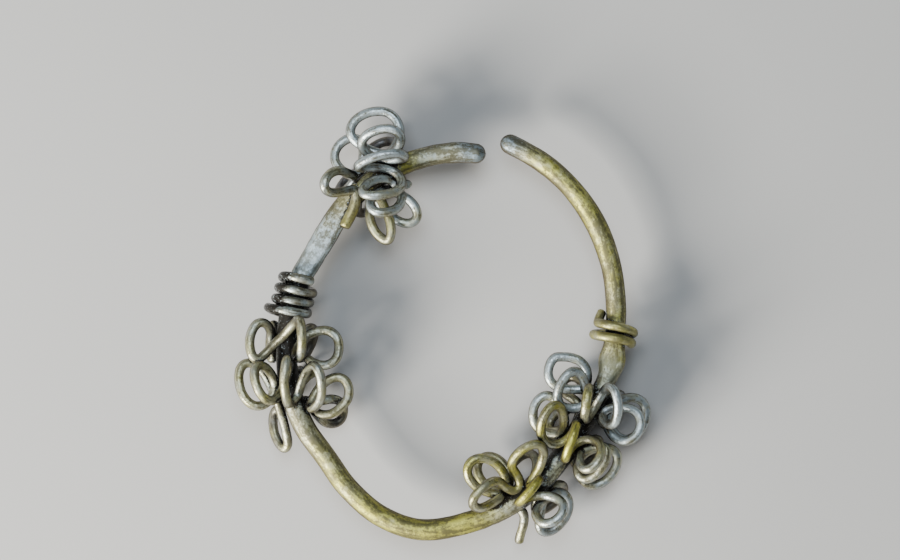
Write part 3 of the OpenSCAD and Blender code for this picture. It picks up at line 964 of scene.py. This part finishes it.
class TEMPLERING_OT_occlusion(bpy.types.Operator):
    """Find how far the wires occlude each other, which darkens them with painted shade in the recesses and
    with tarnish
    """

    bl_idname = "templering.tarnish"
    # Occlusion, for painted shade in the recesses as well as tarnish
    bl_label = "Tarnish"

    def execute(self, context):
        pieces = [thing.data for thing in context.scene.objects if thing.name.endswith(WORN)]
        if len(pieces) != 1 + len(BEADS) + len(BINDINGS):
            raise RuntimeError("Not all the wires are drawn yet")
        spots, faces = [], []
        for mesh in pieces:
            faces += [[i + len(spots) for i in face.vertices] for face in mesh.polygons]
            spots += [vertex.co.copy() for vertex in mesh.vertices]
        wires = BVHTree.FromPolygons(spots, faces)
        for mesh in pieces:
            note(mesh, "sheltered", occlusion(mesh, wires, context.scene.temple_ring_sizes.occlusion_reach))
        return {"FINISHED"}


# The stage: how far the floor reaches to each side, the sky's colour and strength, and the camera's place
# from the middle of the ring wire, in mm
FLOOR_REACH = 1.5
SKY_COLOUR = (0.80, 0.84, 0.90, 1)
SKY_STRENGTH = 0.06
CAMERA_PLACE = (0, 7.25, 312.3)


def pale_floor(finish):
    """Plain pale matt surface."""
    material = bpy.data.materials.new("pale_floor")
    material.use_nodes = True
    tree = material.node_tree
    tree.nodes.clear()
    spot = add_node(tree, "ShaderNodeTexCoord").outputs["Object"]
    cloudy = add_node(tree, "ShaderNodeTexNoise", {"Vector": spot, "Scale": 9.0, "Detail": 3.0}).outputs[0]
    paler = [min(1.0, c * 1.04) for c in finish.floor]
    surface = colour_of(tree, spread(tree, cloudy, 0.3, 0.7), finish.floor[:], paler)
    shader = add_node(tree, "ShaderNodeBsdfPrincipled", {"Base Color": surface, "Roughness": 0.8})
    add_node(tree, "ShaderNodeOutputMaterial", {"Surface": shader.outputs[0]})
    return material


def soft_light(name, place, size, power, tone):
    """A square soft light that looks at the middle of the ring."""
    data = bpy.data.lights.new(name, "AREA")
    data.shape = "SQUARE"
    data.size = size
    data.energy = power
    data.color = tone[:3]
    lamp = bpy.data.objects.new(name, data)
    bpy.context.scene.collection.objects.link(lamp)
    lamp.location = place
    lamp.rotation_euler = (-Vector(place)).to_track_quat("-Z", "Y").to_euler()


class TEMPLERING_OT_stage(bpy.types.Operator):
    """Set the pale floor, the soft lights and the camera above the ring"""

    bl_idname = "templering.stage"
    bl_label = "Stage"

    def execute(self, context):
        finish = context.scene.temple_ring_finish
        _, lift, _ = wire_lines(context.scene.temple_ring_sizes)
        corners = [(x * FLOOR_REACH, y * FLOOR_REACH, 0) for x, y in ((-1, -1), (1, -1), (1, 1), (-1, 1))]
        mesh = bpy.data.meshes.new("floor")
        mesh.from_pydata(corners, [], [(0, 1, 2, 3)])
        mesh.materials.append(pale_floor(finish))
        floor = bpy.data.objects.new("floor", mesh)
        context.scene.collection.objects.link(floor)

        soft_light("main_light", size=0.20, power=4.6, tone=finish.key_light, place=(-0.32, -0.25, 0.22))
        soft_light("fill_light", size=0.24, power=1.1, tone=finish.fill_light, place=(-0.03, 0.14, 0.50))

        world = bpy.data.worlds.new("studio")
        world.use_nodes = True
        background = world.node_tree.nodes["Background"].inputs
        background["Color"].default_value = SKY_COLOUR
        background["Strength"].default_value = SKY_STRENGTH
        context.scene.world = world

        lens = bpy.data.cameras.new("camera")
        lens.lens = 100
        lens.sensor_width = 36
        lens.clip_start = 0.01
        lens.clip_end = 10
        camera = bpy.data.objects.new("camera", lens)
        camera.location = lift + Vector(CAMERA_PLACE) * MM
        context.scene.collection.objects.link(camera)
        context.scene.camera = camera
        return {"FINISHED"}


class TEMPLERING_PT_panel(bpy.types.Panel):
    """Sizes, colours and steps of the temple ring"""

    bl_idname = "TEMPLERING_PT_panel"
    bl_label = "Temple ring"
    bl_space_type = "VIEW_3D"
    bl_region_type = "UI"
    bl_category = "Temple ring"

    def draw(self, context):
        column = self.layout.column()
        for group in (context.scene.temple_ring_sizes, context.scene.temple_ring_finish):
            for label in group.bl_rna.properties.keys():
                if label not in ("rna_type", "name"):
                    column.prop(group, label)
        for step in STEPS:
            column.operator(step.bl_idname)


STEPS = (
    TEMPLERING_OT_ring_wire,
    TEMPLERING_OT_beads,
    TEMPLERING_OT_bindings,
    TEMPLERING_OT_occlusion,
    TEMPLERING_OT_stage,
)
CLASSES = (TempleRingSizes, TempleRingFinish, *STEPS, TEMPLERING_PT_panel)


def register():
    for made in CLASSES:
        bpy.utils.register_class(made)
    bpy.types.Scene.temple_ring_sizes = bpy.props.PointerProperty(type=TempleRingSizes)
    bpy.types.Scene.temple_ring_finish = bpy.props.PointerProperty(type=TempleRingFinish)


def unregister():
    del bpy.types.Scene.temple_ring_finish
    del bpy.types.Scene.temple_ring_sizes
    for made in reversed(CLASSES):
        bpy.utils.unregister_class(made)


def main():
    """Builds the ring and its stage."""
    register()
    bpy.ops.templering.ring_wire()
    bpy.ops.templering.beads()
    bpy.ops.templering.bindings()
    bpy.ops.templering.tarnish()
    bpy.ops.templering.stage()


if __name__ == "__main__":
    main()
